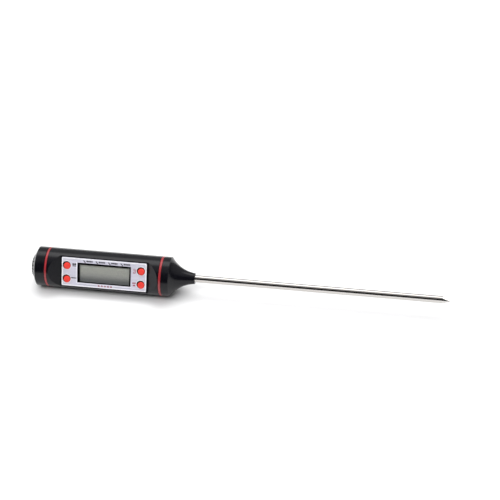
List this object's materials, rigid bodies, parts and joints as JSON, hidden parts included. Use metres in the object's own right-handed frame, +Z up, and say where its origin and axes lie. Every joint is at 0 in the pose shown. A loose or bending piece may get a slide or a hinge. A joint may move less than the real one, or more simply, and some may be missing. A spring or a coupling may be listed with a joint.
{
  "type": "digital probe thermometer",
  "caption": "Pen-shaped digital probe thermometer with a display panel, press keys, a screw-on battery cap and a long pointed steel probe.",
  "frame": {"origin": "on the bench below the middle of the length: bottom centre of the bounding box, lying down", "axes": "+X along the barrel and probe to the tip, +Z up from the bench, the display panel faces up and towards -Y"},
  "size_m": [0.2369, 0.022, 0.022],
  "materials": {
    "black_plastic": "fine moulded texture, satin",
    "red_band": "smooth, semi-gloss",
    "label_silver": "printed silver film, satin",
    "lens_clear": "clear, polished",
    "key_red": "soft satin",
    "plunger_tan": "moulded",
    "switch_black": "moulded",
    "switch_steel": "stamped sheet",
    "contact_metal": "stamped, bright",
    "carrier_white": "moulded",
    "lcd_glass": "polished sheet glass",
    "lcd_film": "grey-green film, satin",
    "lcd_reflector": "matt reflective film",
    "connector_rubber": "layered conductive rubber",
    "board_green": "lacquered laminate",
    "screw_steel": "plated",
    "resin_black": "cast resin",
    "component_body": "sintered body",
    "crystal_can": "drawn can",
    "cell_steel": "plated steel can",
    "seal_rubber": "moulded ring",
    "probe_steel": "polished along the length",
    "bead_epoxy": "cast epoxy",
    "lead_insulation": "extruded",
    "potting_white": "cured compound"
  },
  "bodies": {
    "handle": {"housing_barrel": "black_plastic", "nose_cone": "black_plastic", "front_band": "red_band", "face_label": "label_silver", "display_lens": "lens_clear", "switch_bodies": "switch_black", "switch_covers": "switch_steel", "switch_contacts": "contact_metal", "lcd_carrier": "carrier_white", "lcd_reflector": "lcd_reflector", "lcd_rear_glass": "lcd_glass", "lcd_front_glass": "lcd_glass", "lcd_front_polariser": "lcd_film", "zebra_strip": "connector_rubber", "circuit_board": "board_green", "carrier_screws": "screw_steel", "chip_blob": "resin_black", "chip_components": "component_body", "clock_crystal": "crystal_can", "button_cell": "cell_steel", "cell_holder": "switch_black", "negative_contact": "switch_steel", "negative_spring": "switch_steel", "positive_contact": "switch_steel", "nose_seal": "seal_rubber", "probe_tube": "probe_steel", "probe_tip": "probe_steel", "sensor_bead": "bead_epoxy", "sensor_lead_a": "lead_insulation", "sensor_lead_b": "lead_insulation", "tip_potting": "potting_white"},
    "cap_seal": {"rear_band": "red_band"},
    "cap": {"battery_cap": "black_plastic"},
    "max_min_key": {"key_max_min": "key_red", "plunger_max_min": "plunger_tan"},
    "hold_key": {"key_hold": "key_red", "plunger_hold": "plunger_tan"},
    "unit_key": {"key_unit": "key_red", "plunger_unit": "plunger_tan"},
    "power_key": {"key_power": "key_red", "plunger_power": "plunger_tan"}
  },
  "joints": [
    {"name": "cap_lift", "type": "slide", "parent": "handle", "child": "cap_seal", "axis": [-1, 0, 0], "range_m": [0, 0.0024]},
    {"name": "cap_turn", "type": "hinge", "parent": "cap_seal", "child": "cap", "pos_m": [-0.11345, 0, 0.011], "axis": [-1, 0, 0], "range_deg": [0, 540]},
    {"name": "max_min_press", "type": "slide", "parent": "handle", "child": "max_min_key", "axis": [0, 0.9026, -0.4305], "range_m": [0, 0.0005], "stiffness_N_per_m": 400, "springref_m": -0.002},
    {"name": "hold_press", "type": "slide", "parent": "handle", "child": "hold_key", "axis": [0, 0.9026, -0.4305], "range_m": [0, 0.0005], "stiffness_N_per_m": 400, "springref_m": -0.002},
    {"name": "unit_press", "type": "slide", "parent": "handle", "child": "unit_key", "axis": [0, 0.9026, -0.4305], "range_m": [0, 0.0005], "stiffness_N_per_m": 400, "springref_m": -0.002},
    {"name": "power_press", "type": "slide", "parent": "handle", "child": "power_key", "axis": [0, 0.9026, -0.4305], "range_m": [0, 0.0005], "stiffness_N_per_m": 400, "springref_m": -0.002}
  ],
  "couplings": [
    {"joint": "cap_turn", "follows": "cap_lift", "rad_per_m": 3927}
  ]
}
